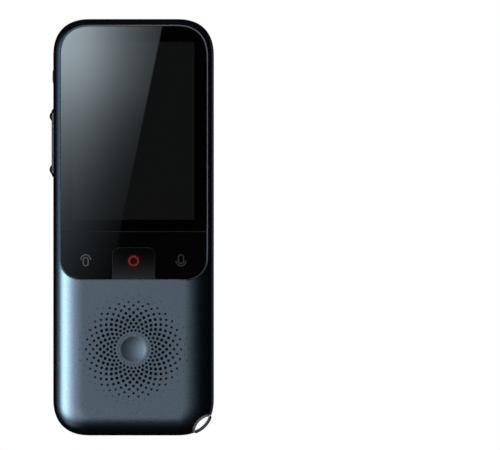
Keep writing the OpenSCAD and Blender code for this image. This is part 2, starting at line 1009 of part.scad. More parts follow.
module sub_board() {
    y0 = usb_h / 2;
    color(copper_board)
        difference() {
            slab(y0, y0 + board_t)
                plate_2d(14.5, 2, 12.6, 1, 1);
            for (side = [-1, 1])
                rod_y(side * foot_post_x, foot_post_z, screw_hole_r, y0 - 1, y0 + board_t + 1);
        }
}

// Drawn-steel shell of the socket, open at the foot
module usb_shell() {
    color(steel)
        difference() {
            translate([0, 0, usb_z0])
                linear_extrude(usb_depth)
                    slot_2d((usb_w - usb_h) / 2, usb_h / 2);
            translate([0, 0, usb_z0 - 1])
                linear_extrude(usb_depth + 0.5)
                    slot_2d((usb_w - usb_h) / 2, usb_h / 2 - usb_skin);
        }
}

module usb_tongue() {
    color("#1a1b1d")
        box([-3.35, -0.35, usb_z0 + 0.7], [3.35, 0.35, usb_z0 + usb_depth - 0.5]);
}

// Two sound pickups: one above the foot, one on the main board
module microphones() {
    y0 = usb_h / 2;
    color("#b8a06a") {
        box([mic_x - 1.4, y0 - 1, 2.2], [mic_x + 1.4, y0, 4.1]);
        box([-17.5, board_y1, 120], [-14.7, board_y1 + 1, 121.9]);
    }
}

module antenna() {
    color("#b87a3a")
        slab(inner_back_y - 0.15, inner_back_y)
            difference() {
                translate([-13, 0])
                    plate_2d(3, 92, 114, 0.5, 0.5);
                for (z = [95:4:111])
                    translate([-14.5, z])
                        square([5, 1.2]);
            }
}

module frame_screws() {
    color("#a9adb1") {
        for (side = [-1, 1]) {
            screw(side * low_screw[0], low_screw[1], mid_y1);
            screw(side * high_screw[0], high_screw[1], mid_y1);
            screw(side * foot_post_x, foot_post_z, usb_h / 2 + board_t);
            for (z = board_screw_z)
                screw(side * board_screw_x, z, board_y1);
        }
    }
}

// Low-headed screw with its head on the surface at y
module screw(x, z, y) {
    rod_y(x, z, screw_r, y - 2.3, y + 0.1);
    difference() {
        rod_y(x, z, screw_head_r, y, y + screw_head_t);
        translate([x, y + screw_head_t, z])
            cube([1.6, 0.4, 0.3], center = true);
        translate([x, y + screw_head_t, z])
            cube([0.3, 0.4, 1.6], center = true);
    }
}

front_cover();
rear_cover();
speaker_grille();
touch_glass();
glass_tape();
display_panel();
display_frame();
display_flex();
talk_key();
talk_key_pin();
record_key();
record_ring();
key_board();
key_domes();
volume_rocker();
power_key();
side_key_board();
side_switches();
lanyard_bar();
camera_trim();
camera_window();
camera_ring();
camera_lens();
camera_module();
flash_diffuser();
flash_led();
mid_frame();
main_board();
shield_can();
battery();
battery_tape();
speaker_gasket();
dust_mesh();
speaker_frame();
speaker_cone();
speaker_magnet();
sub_board();
usb_shell();
usb_tongue();
microphones();
antenna();
frame_screws();
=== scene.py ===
"""Handheld translator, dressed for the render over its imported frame.

Shapes are in millimetres in the row frame: +X right from the front, -Y front, +Z up. Blender works in metres.
"""
import math

import bmesh
import bpy
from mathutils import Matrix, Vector


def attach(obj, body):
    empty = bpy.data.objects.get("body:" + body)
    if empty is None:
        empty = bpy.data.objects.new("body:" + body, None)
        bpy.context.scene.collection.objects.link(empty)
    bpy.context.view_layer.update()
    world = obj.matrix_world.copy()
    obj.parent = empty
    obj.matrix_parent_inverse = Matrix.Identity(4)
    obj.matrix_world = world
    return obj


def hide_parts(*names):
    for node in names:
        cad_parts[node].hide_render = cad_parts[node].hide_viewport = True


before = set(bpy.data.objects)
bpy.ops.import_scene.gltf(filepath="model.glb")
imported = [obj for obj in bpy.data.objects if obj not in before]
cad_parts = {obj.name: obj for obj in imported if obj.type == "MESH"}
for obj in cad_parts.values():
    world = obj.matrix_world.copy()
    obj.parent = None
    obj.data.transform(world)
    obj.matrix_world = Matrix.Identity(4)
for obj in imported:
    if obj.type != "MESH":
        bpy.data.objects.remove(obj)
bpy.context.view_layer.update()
MM = 0.001

# ------------------------------------------------------------------ sizes

HALF_W, HALF_H = 26.0, 67.4               # half width and half height of the outline
FACE_Y = 6.2                              # flat faces, from the middle of the thickness
BAND = 1.9                                # half width of the straight band round the edge
SEAM_Y, SEAM_BEVEL = 2.3, 0.1             # parting plane, and the chamfer of both halves along it
SIDE_ROUND, END_ROUND = 9.8, 6.5          # reach of the rounding across the faces
CORNER, FULL = 12.3, 2.45                 # corner of the outline and how full it is
POWER, PROFILE = 2.3, 30                  # fullness of the edge rounding, and its number of steps
WALL = 1.3
CLEAR, OUTSIDE = 9.0, 40.0                # cutters reach this far past the faces and the foot, and past the sides
HOLE_CLEAR = 8.0                          # and the cutters of small openings this far past the faces

GLASS_X, PANEL_LOW, PANEL_TOP = 23.7, 50.5, 132.57       # half width, foot and top of the front panel
PANEL_FLOOR = -4.85                       # depth of its opening in the housing
LOW_FULL = 2.25                           # fullness of the lower corners of the panel
PANEL_GAP, PART_GAP = 0.25, 0.12          # from the panel's outline out to the opening, and in to the glass and keys
SEAM_Z, SEAM_GAP = 66.0, 0.07             # line between glass and keys, and half its width
EDGE = 0.03                               # chamfer of glass and key plate

ROCKER, POWER_KEY = (94.7, 11.0), (116.1, 2.2)     # middle and half length of the keys on the left edge
KEY_Y, KEY_GAP = 1.4, 0.15                # half width of these keys, and the gap round them
KEY_SLOT = (-28, -23.5)                   # how far across their slots reach
NUB_OFF, NUB_HALF = 8.6, 1.42             # place of the nubs on the rocker, and their half length

NOTCH, NOTCH_R, NOTCH_BEVEL = (25.6, 0.4), 5.9, 0.62     # cut of the lanyard corner
NOTCH_FROM, NOTCH_SPAN = 80, 110          # degrees of its circle that the cutter follows

GRILLE_Z, DIMPLE = 27.9, (4.1, 0.26)      # middle of the grille, radius and depth of the bowl in it
HOLES = (0.31, 0.85, 0.96, 1.04, 1.09, 1.09, 0.99, 0.91, 0.81, 0.75, 0.34, 0.34)     # diameter by ring
HOLES_ROUND, FIRST_RING, RING_STEP = 30, 4.98, 1.155
HOLES_FROM, HOLES_TO = 4.4, 18.4          # radii that all the holes lie between
HOLE_FLOOR, BLIND_FLOOR = -4.6, -5.7      # floors of the open holes and of the small blind ones
HOLE_MASK = 0.07                          # depth below the face from which the holes get painted shade

SOCKET_W, SOCKET_T, SOCKET_GAP = 8.94, 3.26, 0.15
MIC_X, MIC_R = 9.5, 0.5
FOOT_CUT = (-1, 2.4)                      # heights that the openings in the foot reach between

BUMP_Z, BUMP_HALF = 120.9, 10.1           # camera bump: height of its middle, half length of its straight part
LENS_X, LENS_HOLE = 8.7, 2.6
FLASH_X, FLASH_HALF = 2.45, 1.875

# ------------------------------------------------------------------ outlines


def corners(half_x, half_z, low_r, top_r, mid_z=HALF_H, low_n=FULL, top_n=FULL, steps=22, along=(0, 0)):
    """Rounded outline, anticlockwise seen from the front; each r is (across, up).

    along is how many points are set on each (level, upright) side, so that shading stays local there.
    """
    points = []
    for sx, sz in ((1, 1), (-1, 1), (-1, -1), (1, -1)):
        (rx, rz), n = (top_r, top_n) if sz > 0 else (low_r, low_n)
        for k in range(steps + 1):
            t = math.pi / 2 * k / steps
            if sx * sz < 0:
                t = math.pi / 2 - t
            c, s = abs(math.cos(t)) ** (2 / n), abs(math.sin(t)) ** (2 / n)
            points.append((sx * (half_x - rx + rx * c), mid_z + sz * (half_z - rz + rz * s)))
    whole = []
    for side in range(4):
        part = points[side * (steps + 1):(side + 1) * (steps + 1)]
        whole += part
        (x0, z0), (x1, z1) = part[-1], points[(side + 1) * (steps + 1) % len(points)]
        count = along[side % 2]
        whole += [(x0 + (x1 - x0) * k / (count + 1), z0 + (z1 - z0) * k / (count + 1)) for k in range(1, count + 1)]
    return whole


def rounded(half_x, half_z, r, mid_z, n, steps):
    """The same with four equal corners."""
    return corners(half_x, half_z, (r, r), (r, r), mid_z, n, n, steps)


def body_outline(u, off=0.0, side=SIDE_ROUND, end=END_ROUND):
    """Outline at u of the edge rounding: 1 is the silhouette, 0 the edge of the flat face."""
    ix, iz = off + side * (1 - u), off + end * (1 - u)
    r = (max(CORNER - ix, 0.4), max(CORNER - iz, 0.4))
    return corners(HALF_W - ix, HALF_H - iz, r, r, along=(8, 27))


def panel_outline(grow, z0=PANEL_LOW, z1=PANEL_TOP, low_r=7.3, top_r=10.2):
    """Outline of the front panel, or of a part of it from z0 to z1, moved out by grow."""
    low, top = low_r + grow, top_r + grow
    return corners(GLASS_X + grow, (z1 - z0) / 2 + grow, (low, low), (top, top), (z0 + z1) / 2, LOW_FULL)


def stadium(z, half, r, steps=36):
    """Level slot shape with round ends, in the middle of the width."""
    points = []
    for side in (1, -1):
        for k in range(steps + 1):
            a = math.pi * (k / steps - 0.5)
            points.append((side * (half + r * math.cos(a)), z + side * r * math.sin(a)))
    return points


def circle(x, z, r, steps):
    return [(x + r * math.cos(2 * math.pi * k / steps), z + r * math.sin(2 * math.pi * k / steps))
            for k in range(steps)]


def arc(x, z, r, start, end, steps=12, n=2.0):
    """Part of a circle in degrees, or of a fuller curve where n is above 2."""
    points = []
    for k in range(steps + 1):
        a = math.radians(start + (end - start) * k / steps)
        c, s = math.cos(a), math.sin(a)
        points.append((x + r * math.copysign(abs(c) ** (2 / n), c), z + r * math.copysign(abs(s) ** (2 / n), s)))
    return points


def both_sides(low, top):
    """Closed outline from its left half: the line of its foot from the outside in, and its upper corner."""
    return low + [(-x, z) for x, z in reversed(low)] + [(-x, z) for x, z in reversed(top)] + top


def inset(points, d):
    """The closed outline moved inwards by d."""
    moved, n = [], len(points)
    for i, (x, z) in enumerate(points):
        before = next(p for k in range(1, n) if math.dist(p := points[i - k], (x, z)) > 1e-6)
        after = next(p for k in range(1, n) if math.dist(p := points[(i + k) % n], (x, z)) > 1e-6)
        ax, az = x - before[0], z - before[1]
        bx, bz = after[0] - x, after[1] - z
        la, lb = math.hypot(ax, az), math.hypot(bx, bz)
        nx, nz = -(az / la + bz / lb), ax / la + bx / lb
        length = max(math.hypot(nx, nz), 0.8)
        scale = 2 / length ** 2
        moved.append((x + nx * d * scale, z + nz * d * scale))
    return moved


def depth_at(x, z):
    """(height of the face above the mid plane, u of the edge rounding) at a place of the outline."""
    lo, hi = 0.0, 1.02
    for _ in range(24):
        u = (lo + hi) / 2
        ix, iz = SIDE_ROUND * (1 - u), END_ROUND * (1 - u)
        rx, rz = max(CORNER - ix, 0.4), max(CORNER - iz, 0.4)
        dx = abs(x) - (HALF_W - ix - rx)
        dz = abs(z - HALF_H) - (HALF_H - iz - rz)
        if dx <= 0 or dz <= 0:
            held = dx <= rx and dz <= rz
        else:
            held = (dx / rx) ** FULL + (dz / rz) ** FULL <= 1
        lo, hi = (lo, u) if held else (u, hi)
    u = (lo + hi) / 2
    if u >= 1:
        return 0.0, u
    return BAND + (FACE_Y - BAND) * (1 - u ** POWER) ** (1 / POWER), u


# ------------------------------------------------------------------ mesh helpers


def shade(obj, turn):
    """Smooth but for edges sharper than turn, in degrees."""
    obj.data.polygons.foreach_set("use_smooth", [True] * len(obj.data.polygons))
    obj.data.set_sharp_from_angle(angle=math.radians(turn))


def placed(name, bm, turn):
    """Object from a finished bmesh."""
    mesh = bpy.data.meshes.new(name)
    bm.to_mesh(mesh)
    bm.free()
    obj = bpy.data.objects.new(name, mesh)
    bpy.context.scene.collection.objects.link(obj)
    shade(obj, turn)
    return obj


def make(name, rings, closed=False, turn=45.0):
    """Object from rings of points, each joined to the next, and the last to the first if closed."""
    bm = bmesh.new()
    rows = [[bm.verts.new([c * MM for c in p]) for p in ring] for ring in rings]
    pairs = list(zip(rows, rows[1:])) + ([(rows[-1], rows[0])] if closed else [])
    for a, b in pairs:
        for k in range(len(a)):
            j = (k + 1) % len(a)
            bm.faces.new((a[k], a[j], b[j], b[k]))
    if not closed:
        bm.faces.new(rows[0][::-1])
        bm.faces.new(rows[-1])
    bmesh.ops.remove_doubles(bm, verts=bm.verts, dist=1e-8)
    bmesh.ops.dissolve_degenerate(bm, edges=bm.edges, dist=1e-9)
    bmesh.ops.recalc_face_normals(bm, faces=bm.faces)
    return placed(name, bm, turn)


def join(name, objs, turn=45.0):
    """One object from several."""
    bm = bmesh.new()
    for o in objs:
        bm.from_mesh(o.data)
        bpy.data.objects.remove(o)
    return placed(name, bm, turn)


def cut(obj, tool):
    """obj less tool, which is used up."""
    mod = obj.modifiers.new("cut", "BOOLEAN")
    mod.operation, mod.solver, mod.object = "DIFFERENCE", "EXACT", tool
    done = bpy.data.meshes.new_from_object(obj.evaluated_get(bpy.context.evaluated_depsgraph_get()))
    obj.modifiers.clear()
    obj.data = done
    bpy.data.objects.remove(tool)


def flat(points, y):
    return [(x, y, z) for x, z in points]


def prism(name, points, y0, y1):
    return make(name, [flat(points, y0), flat(points, y1)], turn=30)


def post(name, points, z0, z1):
    """Upright solid over points in the plane of the foot."""
    return make(name, [[(x, y, z) for x, y in points] for z in (z0, z1)])


def swept(name, outline, profile, turn, closed=True):
    """Solid along outline(size), for a profile of (size, y); with closed it is a ring of that section."""
    return make(name, [flat(outline(size), y) for size, y in profile], closed, turn)


def turned(name, x, z, profile, steps, turn=45.0):
    """Solid turned round a line along Y; profile holds (radius, y) from one end to the other."""
    return swept(name, lambda r: circle(x, z, max(r, 1e-5), steps), profile, turn, False)


def plate(name, points, y_face, y_back, edge, steps=4):
    """Flat plate with a rounded front edge, or with a chamfered one at steps=1."""
    way = 1 if y_back > y_face else -1
    rings = [flat(points, y_back)]
    for k in range(steps + 1):
        a = math.pi / 2 * k / steps
        rings.append(flat(inset(points, edge * (1 - math.cos(a))), y_face + way * edge * (1 - math.sin(a))))
    # two more rings in the plane of the face keep the shading of the rounded edge off it
    rings += [flat(inset(points, edge + d), y_face) for d in (0.02, 0.05)]
    return make(name, rings, turn=30 if steps == 1 else 50)


# ------------------------------------------------------------------ housing


def half_body(name, seam, sign, off=0.0):
    """One half of the pillow as a closed solid, from the seam to its flat face; off makes the room inside it."""
    if off:
        band, side, end = SEAM_Y + SEAM_BEVEL, SIDE_ROUND - off, END_ROUND - off
        rings = [flat(body_outline(1, off, side, end), seam)]
    else:
        band, side, end = BAND, SIDE_ROUND, END_ROUND
        edge_u = 1 if sign < 0 else 0.998     # the rear half's band lies within its rounding
        rings = [flat(body_outline(1, SEAM_BEVEL), seam), flat(body_outline(edge_u), seam + sign * SEAM_BEVEL)]
    for k in range(PROFILE + 1):
        a = math.pi / 2 * (1 - k / PROFILE)
        u = math.sin(a) ** (2 / POWER)
        y = band + (FACE_Y - off - band) * max(math.cos(a), 0) ** (2 / POWER)
        if off or sign < 0 or y >= SEAM_Y + 2 * SEAM_BEVEL:
            rings.append(flat(body_outline(u, off, side, end), sign * y))
    return make(name, rings, turn=40)


def notch_tool():
    """Cutter for the lanyard corner, flared along the surface so that its edge is chamfered."""
    steps, levels = 72, 120
    nx, nz = NOTCH
    spots = []
    for k in range(steps + 1):
        a = math.radians(NOTCH_FROM + NOTCH_SPAN * k / steps)
        middle = NOTCH_R + NOTCH_BEVEL / 2
        spots.append((a, *depth_at(nx + math.cos(a) * middle, nz + math.sin(a) * middle)))
    rings = []
    for k in range(levels + 1):
        y = -CLEAR + 2 * CLEAR * k / levels
        row = []
        for a, height, u in spots:
            under = min(height - abs(y), 8 * (1 - u)) if u < 1 else 0.0     # depth of y under the surface
            r = NOTCH_R + min(max(0.0, NOTCH_BEVEL - under), NOTCH_BEVEL + 0.12)
            row.append((nx + r * math.cos(a), y, nz + r * math.sin(a)))
        row += [(row[-1][0], y, -CLEAR), (OUTSIDE, y, -CLEAR), (OUTSIDE, y, row[0][2])]
        rings.append(row)
    return make("notch_tool", rings, turn=30)


def hollow(name, sign):
    """Half of the body with its wall, and with a solid corner behind the lanyard notch."""
    shell = half_body(name, SEAM_Y, sign)
    room = half_body("room", SEAM_Y - sign, sign, WALL)
    cut(room, prism("corner", circle(*NOTCH, NOTCH_R + WALL, 72), -CLEAR, CLEAR))
    cut(shell, room)
    cut(shell, notch_tool())
    return shell


def front_tools():
    """Openings of the front half: panel, keys on the edge, socket, microphone and grille."""
    tools = [prism("opening", panel_outline(PANEL_GAP), -CLEAR, PANEL_FLOOR)]
    for z, half in (ROCKER, POWER_KEY):
        loop = rounded(KEY_Y + KEY_GAP, half + KEY_GAP, 1.2, z, 2.3, 8)
        tools.append(make("side", [[(x, y, zz) for y, zz in loop] for x in KEY_SLOT]))
    socket = stadium(0, (SOCKET_W - SOCKET_T) / 2, SOCKET_T / 2 + SOCKET_GAP, 16)
    tools.append(post("foot", socket, *FOOT_CUT))
    tools.append(post("mic", circle(MIC_X, 0, MIC_R, 24), *FOOT_CUT))
    for i, d in enumerate(HOLES):
        bottom = BLIND_FLOOR if d < 0.5 else HOLE_FLOOR      # the mesh cloth doesn't reach behind the small ones
        r = FIRST_RING + RING_STEP * i
        for k in range(HOLES_ROUND):
            a = 2 * math.pi * (k + (0.5 if i % 2 == 0 else 0)) / HOLES_ROUND
            x, z = r * math.cos(a), GRILLE_Z + r * math.sin(a)
            tools.append(prism("hole", circle(x, z, d / 2, 14), -HOLE_CLEAR, bottom))
    radius, depth = DIMPLE
    sphere = (radius ** 2 + depth ** 2) / (2 * depth)
    bowl = [(radius * k / 20, -FACE_Y + depth - sphere + math.sqrt(sphere ** 2 - (radius * k / 20) ** 2))
            for k in range(20)]
    bowl += [(radius, -FACE_Y), (radius + 0.25, -FACE_Y - 0.15), (radius + 0.25, -HOLE_CLEAR), (0, -HOLE_CLEAR)]
    tools.append(turned("bowl", 0, GRILLE_Z, bowl, 96))
    return join("openings", tools)


def bump_outline(r):
    return stadium(BUMP_Z, BUMP_HALF, r)


front = hollow("housing_front", -1)
cut(front, front_tools())
lip = swept("lip", panel_outline, [
    (0.03, -4.4), (0.03, -6.205), (0.045, -6.22), (0.36, -6.22), (0.375, -6.205), (0.42, -4.1)], 30)
front = join("housing_front", [front, lip], 30)

rear = hollow("housing_rear", 1)
bump = swept("bump", bump_outline, [
    (5.77, 6.0), (5.77, 6.93), (5.8, 6.98), (5.87, 7.0), (5.95, 6.995), (6.05, 6.975), (6.17, 6.92), (6.3, 6.84),
    (6.7, 6.57), (6.9, 6.45), (7.1, 6.36), (7.3, 6.29), (7.5, 6.24), (7.75, 6.2), (8.0, 6.16), (8.3, 6.0)], 60)
rear = join("housing_rear", [rear, bump], 40)

# ------------------------------------------------------------------ glass and front keys

KEYS_Z, FOOT_R = 50.77, 0.15                  # the small lower corners of the keys
TALK_X, TALK_Z, TALK_R = 16.4, 57.8, 7.18     # the large lower corners of the key plate
CAP_X, CAP_Z = 4.6, 58.45                     # the upper corners of the middle key
CAP_R, POCKET_R, TOP_R = 2.35, 2.45, 0.2
KEY_BACK, GLASS_BACK = -4.6, -5.2
RING_Z, RING_R = 56.48, 1.46
SEAL_X = 23.5

glass_low = SEAM_Z + SEAM_GAP - PART_GAP
glass = plate("front_glass", panel_outline(-PART_GAP, glass_low, PANEL_TOP, 0.3), -FACE_Y, GLASS_BACK, EDGE, 1)
seal = prism("seam_seal", [(x, SEAM_Z + z) for x, z in (
    (-SEAL_X, -0.04), (SEAL_X, -0.04), (SEAL_X, 0.1), (-SEAL_X, 0.1))], -6.17, -5.3)

talk_low = (arc(-TALK_X, TALK_Z, TALK_R, 180, 270, 18, LOW_FULL) + arc(-7.2, KEYS_Z, FOOT_R, 270, 360, 4)
            + arc(-CAP_X, CAP_Z, POCKET_R, 180, 90))
talk_top = arc(-(GLASS_X - PART_GAP - TOP_R), SEAM_Z - SEAM_GAP - TOP_R, TOP_R, 90, 180, 4)
talk = plate("talk_plate", both_sides(talk_low, talk_top), -FACE_Y, KEY_BACK, EDGE, 1)
record_outline = both_sides(arc(-6.8, KEYS_Z, FOOT_R, 180, 270, 4), arc(-CAP_X, CAP_Z, CAP_R, 90, 180))
record = plate("record_cap", record_outline, -FACE_Y, KEY_BACK, 0.1, 1)
ring = swept("ring_inlay", lambda r: circle(0, RING_Z, RING_R + r, 72), [
    (-0.25, -5.98), (-0.25, -6.2), (-0.2, -6.22), (-0.1, -6.225), (0.1, -6.225), (0.2, -6.22), (0.25, -6.2),
    (0.25, -5.98)], 50)


def stroke(name, points, closed=False):
    """Narrow raised line along points of the front face."""
    half, y_top, y_foot = 0.21, -6.225, -6.1
    n = len(points)
    sections = []
    for i, (x, z) in enumerate(points):
        a = points[i - 1] if closed or i else points[i]
        b = points[(i + 1) % n] if closed or i < n - 1 else points[i]
        dx, dz = b[0] - a[0], b[1] - a[1]
        d = math.hypot(dx, dz)
        ox, oz = -dz / d * half, dx / d * half
        sections.append([(x + ox, y_foot, z + oz), (x + ox, y_top, z + oz),
                         (x - ox, y_top, z - oz), (x - ox, y_foot, z - oz)])
    return make(name, sections, closed, 40)


def talk_symbol(x, z, half_x, half_z, bow_z, bow_x, bow_rise):
    """Upright capsule round (x, z) with a half ellipse round one end, above it or, with bow_rise < 0, below it."""
    capsule = [(x + b, z + a) for a, b in stadium(0, half_z - half_x, half_x, 18)]
    bow = [(x + bow_x * math.cos(a), bow_z + bow_rise * math.sin(a))
           for a in (math.radians(3 + 174 * k / 28) for k in range(29))]
    return [stroke("capsule", capsule, True), stroke("bow", bow)]


symbols = join("talk_symbols", (
    talk_symbol(-15.5, 56.26, half_x=0.79, half_z=1.32, bow_z=56.75, bow_x=1.58, bow_rise=1.74)
    + talk_symbol(15.35, 57.08, half_x=0.84, half_z=1.42, bow_z=56.65, bow_x=1.55, bow_rise=-1.75)), 40)

# ------------------------------------------------------------------ side keys

SECTIONS = 60      # from the middle to each end, of a side key and of the lanyard bar


def side_key(name, z, half, height, nub=lambda s: 0.0):
    """Key on the left edge; height(s) is how far it stands proud at s from its middle, nub(s) the dome on that."""
    root, end, full = -24.4, 1.2, 2.5     # inner end of its sides, reach and fullness of the rounding at its ends
    rings = []
    for k in range(2 * SECTIONS + 1):
        s = half * math.sin(math.pi / 2 * (k / SECTIONS - 1))
        over = max(0.0, abs(s) - (half - end)) / end
        w = max(KEY_Y * (1 - over ** full) ** (1 / full), 0.02)
        top, r = -HALF_W - height(s), min(0.12, w * 0.8)
        row = [(root, -w), (top + r, -w), (top, -w + r)]
        row += [(top - nub(s) * math.sqrt(1 - (1 - j / 5) ** 2), -(w - r) * (1 - j / 5)) for j in range(1, 6)]
        row += [(x, -y) for x, y in reversed(row[:-1])]
        rings.append([(x, y, z + s) for x, y in row])
    return make(name, rings, turn=30)


def bridge(s):
    """Low even height that drops at both ends."""
    return 0.55 * min(1.0, max(0.0, (ROCKER[1] - abs(s)) / 0.7)) ** 0.5


def nubs(s):
    """Round nub near each end."""
    off = abs(s) - NUB_OFF
    return math.sqrt(1.88 ** 2 - off ** 2) - 1.23 if abs(off) < NUB_HALF else 0.0


def pillow(s):
    """Height of the short key, which falls off towards its ends."""
    return 0.25 * (1 - (abs(s) / POWER_KEY[1]) ** 4)


rocker = side_key("rocker_cap", *ROCKER, bridge, nubs)
power = side_key("power_cap", *POWER_KEY, pillow)

# ------------------------------------------------------------------ lanyard bar

BAR, BAR_R, BAR_T, BAR_W = (17.15, 8.85), 8.22, 1.05, 3.2     # middle and radius of its arc, its section
BAR_END, BAR_SPAN, NECK_T, NECK_W = 26.4, 33.6, 0.3, 1.6      # half angles without and with its necks, their section
bar_rings = []
for k in range(2 * SECTIONS + 1):
    off = BAR_SPAN * (k / SECTIONS - 1)
    left = max(0.0, BAR_END - abs(off)) * math.pi / 180 * BAR_R / (BAR_T / 2)
    full = math.sqrt(max(0.0, 1 - (1 - min(left, 1.0)) ** 2))
    thick, wide = NECK_T + (BAR_T - NECK_T) * full, NECK_W + (BAR_W - NECK_W) * full
    a = math.radians(-45 + off)
    bar_rings.append([(BAR[0] + (BAR_R + t) * math.cos(a), w, BAR[1] + (BAR_R + t) * math.sin(a))
                      for w, t in rounded(wide / 2, thick / 2, 0.28 * thick / BAR_T, 0, 2.0, 5)])
bar = make("loop_bar", bar_rings, turn=50)

# ------------------------------------------------------------------ camera window

RECESS = 6.3      # floor of the openings for lens and flash
DOME_R, DOME_Y, DOME_RISE = 1.24, 6.4, 0.34

rim = swept("window_rim", bump_outline, [
    (5.41, 6.2), (5.41, 6.95), (5.46, 7.01), (5.55, 7.04), (5.65, 7.03), (5.73, 6.98), (5.75, 6.9), (5.75, 6.2)], 50)
window = plate("window_glass", bump_outline(5.4), 6.95, 6.2, 0.12)
flash_points = [(FLASH_X + x, z) for x, z in rounded(FLASH_HALF, FLASH_HALF, 1.0, BUMP_Z, 2.0, 8)]
cut(window, join("holes", [prism("lens_hole", circle(LENS_X, BUMP_Z, LENS_HOLE, 72), RECESS, HOLE_CLEAR),
                           prism("flash_hole", flash_points, RECESS, HOLE_CLEAR)]))
shade(window, 50)
camera_rim = swept("camera_rim", lambda r: circle(LENS_X, BUMP_Z, r, 72), [
    (2.25, 6.3), (2.25, 6.98), (2.29, 7.03), (2.37, 7.05), (2.48, 7.05), (2.56, 7.03), (2.6, 6.98), (2.6, 6.3)], 50)
lens = turned("lens_barrel", LENS_X, BUMP_Z, [
    (0, 6.25), (1.2, 6.25), (1.25, 6.45), (1.5, 6.5), (1.52, 6.6), (1.78, 6.64), (1.8, 6.72), (2.05, 6.76),
    (2.08, 6.86), (2.25, 6.88), (2.25, 6.2), (0, 6.2)], 72, 20)
dome_angles = [math.pi / 2 * k / 12 for k in range(13)]
dome = turned("lens_dome", LENS_X, BUMP_Z, [(0, 6.28), (DOME_R, 6.3)] + [
    (DOME_R * math.cos(a), DOME_Y + DOME_RISE * math.sin(a)) for a in dome_angles], 64, 40)
flash = plate("flash_cap", inset(flash_points, 0.03), 6.93, RECESS, 0.14)

# ------------------------------------------------------------------ socket contacts

CONTACTS, PITCH = 12, 0.5                     # in each row
PIN_HALF, PIN_Y, PIN_Z = 0.13, (0.33, 0.37), (1.4, 4.6)
contacts = []
for side in (-1, 1):
    for k in range(CONTACTS):
        x = PITCH * (k - (CONTACTS - 1) / 2)
        section = [(x + sx * PIN_HALF, side * PIN_Y[row]) for sx, row in ((-1, 0), (1, 0), (1, 1), (-1, 1))]
        contacts.append(post("contact", section, *PIN_Z))
contacts = join("socket_contacts", contacts, 30)

# ------------------------------------------------------------------ node helpers


def rgb(code):
    """Linear colour of a hex code."""
    parts = [int(code[i:i + 2], 16) / 255 for i in (1, 3, 5)]
    return [p / 12.92 if p <= 0.04045 else ((p + 0.055) / 1.055) ** 2.4 for p in parts] + [1.0]


def tones(code, by):
    """The colour made darker and lighter by a share."""
    base = rgb(code)[:3]
    return [c * (1 - by) for c in base] + [1], [min(c * (1 + by), 1) for c in base] + [1]


def mm(*values):
    """The values in metres."""
    return [v * MM for v in values]


class Tree:
    """Adds nodes to a node tree; a value is a number, a colour, a vector or the output of another node."""

    def __init__(self, tree):
        self.nodes, self.links = tree.nodes, tree.links

    def put(self, socket, value):
        if hasattr(value, "is_output"):
            self.links.new(value, socket)
        else:
            socket.default_value = value

    def node(self, kind, **inputs):
        n = self.nodes.new(kind)
        for key, value in inputs.items():
            self.put(n.inputs[key.replace("_", " ")], value)
        return n

    def math(self, operation, a, b=0.0):
        n = self.nodes.new("ShaderNodeMath")
        n.operation = operation
        self.put(n.inputs[0], a)
        self.put(n.inputs[1], b)
        return n.outputs[0]

    def times(self, a, *factors):
        for b in factors:
            a = self.math("MULTIPLY", a, b)
        return a

    def plus(self, a, *terms):
        for b in terms:
            a = self.math("ADD", a, b)
        return a

    def minus(self, a, b):
        return self.math("SUBTRACT", a, b)

    def below(self, a, b):
        return self.math("LESS_THAN", a, b)

    def off(self, value, centre=0.0):
        """How far value is from centre."""
        return self.math("ABSOLUTE", self.minus(value, centre) if centre else value)

    def vector(self, operation, a, b=(0, 0, 0), output="Vector"):
        n = self.nodes.new("ShaderNodeVectorMath")
        n.operation = operation
        self.put(n.inputs[0], a)
        self.put(n.inputs[1], b)
        return n.outputs[output]

    def dot(self, a, b):
        return self.vector("DOT_PRODUCT", a, b, "Value")

    def length(self, a):
        return self.vector("LENGTH", a, output="Value")

    def span(self, value, low, high, start=0.3, end=0.7, smooth=False):
        """low at start to high at end, and even beyond."""
        n = self.nodes.new("ShaderNodeMapRange")
        n.interpolation_type = "SMOOTHSTEP" if smooth else "LINEAR"
        for key, v in (("Value", value), ("From Min", start), ("From Max", end), ("To Min", low), ("To Max", high)):
            self.put(n.inputs[key], v)
        return n.outputs[0]

    def within(self, value, half, soft):
        """1 where value is less than half, falling to 0 over soft on each side of it."""
        return self.span(value, 1.0, 0.0, half - soft, half + soft, True)

    def mix(self, factor, a, b, kind="RGBA"):
        n = self.nodes.new("ShaderNodeMix")
        n.data_type = kind
        first, result = {"RGBA": (6, 2), "FLOAT": (2, 0)}[kind]
        for socket, value in ((n.inputs[0], factor), (n.inputs[first], a), (n.inputs[first + 1], b)):
            self.put(socket, value)
        return n.outputs[result]

    def knee(self, value, start, soft, reach):
        """Level that is flat before start and then falls by the factor e each reach, with a soft bend."""
        rise = self.math("EXPONENT", self.math("DIVIDE", self.minus(value, start), soft))
        return self.math("POWER", self.plus(rise, 1.0), -soft / reach)

    def left_angle(self, direction):
        """Angle in degrees to the left of the face that the direction is in front of."""
        slope = self.math("DIVIDE", self.dot(direction, (1, 0, 0)), self.dot(direction, (0, 1, 0)))
        return self.times(self.math("ARCTANGENT", slope), 180 / math.pi)


